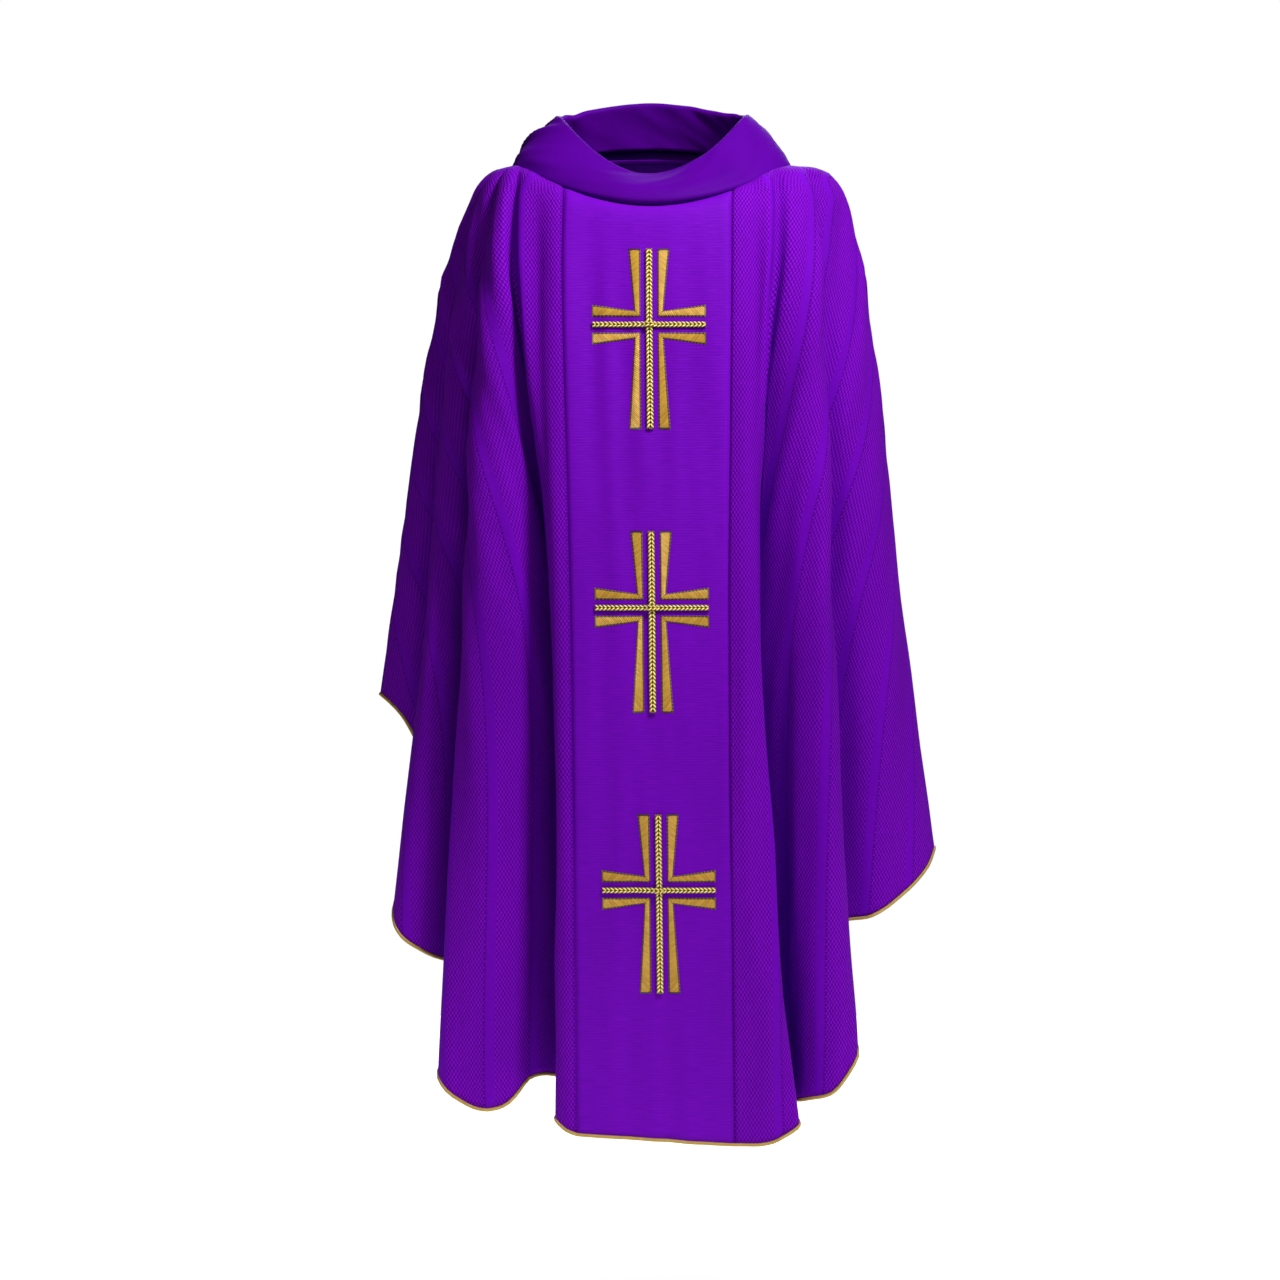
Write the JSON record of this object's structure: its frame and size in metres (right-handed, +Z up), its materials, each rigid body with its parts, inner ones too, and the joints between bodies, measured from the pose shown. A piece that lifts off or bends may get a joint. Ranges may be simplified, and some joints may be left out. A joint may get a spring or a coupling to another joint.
{
  "type": "chasuble",
  "caption": "Semi-Gothic chasuble with a rolled collar, a plain centre panel bearing gold crosses, striped side panels in deep folds and a piped hem.",
  "frame": {"origin": "middle of the neck opening, level with the tops of the wearer's shoulders", "axes": "+Z up, the front faces -Y, +X is the wearer's left"},
  "size_m": [0.7372, 0.419, 1.3243],
  "materials": {
    "panel_cloth": "plain fine-ribbed violet weave, soft sheen",
    "jacquard_cloth": "violet jacquard, textured bands between narrow smooth stripes",
    "collar_cloth": "smooth violet satin-back weave",
    "interfacing": "stiff unbleached interfacing",
    "satin_stitch": "old-gold satin stitch",
    "gold_cord": "pale gold twisted metallic thread",
    "gold_piping": "gold satin piping"
  },
  "bodies": {
    "root": {"front_center_panel": "panel_cloth", "back_center_panel": "panel_cloth", "front_left_panel": "jacquard_cloth", "front_right_panel": "jacquard_cloth", "back_left_panel": "jacquard_cloth", "back_right_panel": "jacquard_cloth", "collar_front": "collar_cloth", "collar_back": "collar_cloth", "collar_interfacing_front": "interfacing", "collar_interfacing_back": "interfacing", "hem_piping_front": "gold_piping", "hem_piping_back": "gold_piping", "front_cross_1_applique_upper_left": "satin_stitch", "front_cross_1_applique_upper_right": "satin_stitch", "front_cross_1_applique_lower_left": "satin_stitch", "front_cross_1_applique_lower_right": "satin_stitch", "front_cross_1_upright_cord": "gold_cord", "front_cross_1_crosswise_cord": "gold_cord", "front_cross_2_applique_upper_left": "satin_stitch", "front_cross_2_applique_upper_right": "satin_stitch", "front_cross_2_applique_lower_left": "satin_stitch", "front_cross_2_applique_lower_right": "satin_stitch", "front_cross_2_upright_cord": "gold_cord", "front_cross_2_crosswise_cord": "gold_cord", "front_cross_3_applique_upper_left": "satin_stitch", "front_cross_3_applique_upper_right": "satin_stitch", "front_cross_3_applique_lower_left": "satin_stitch", "front_cross_3_applique_lower_right": "satin_stitch", "front_cross_3_upright_cord": "gold_cord", "front_cross_3_crosswise_cord": "gold_cord", "back_cross_1_applique_upper_left": "satin_stitch", "back_cross_1_applique_upper_right": "satin_stitch", "back_cross_1_applique_lower_left": "satin_stitch", "back_cross_1_applique_lower_right": "satin_stitch", "back_cross_1_upright_cord": "gold_cord", "back_cross_1_crosswise_cord": "gold_cord", "back_cross_2_applique_upper_left": "satin_stitch", "back_cross_2_applique_upper_right": "satin_stitch", "back_cross_2_applique_lower_left": "satin_stitch", "back_cross_2_applique_lower_right": "satin_stitch", "back_cross_2_upright_cord": "gold_cord", "back_cross_2_crosswise_cord": "gold_cord", "back_cross_3_applique_upper_left": "satin_stitch", "back_cross_3_applique_upper_right": "satin_stitch", "back_cross_3_applique_lower_left": "satin_stitch", "back_cross_3_applique_lower_right": "satin_stitch", "back_cross_3_upright_cord": "gold_cord", "back_cross_3_crosswise_cord": "gold_cord"}
  },
  "joints": []
}
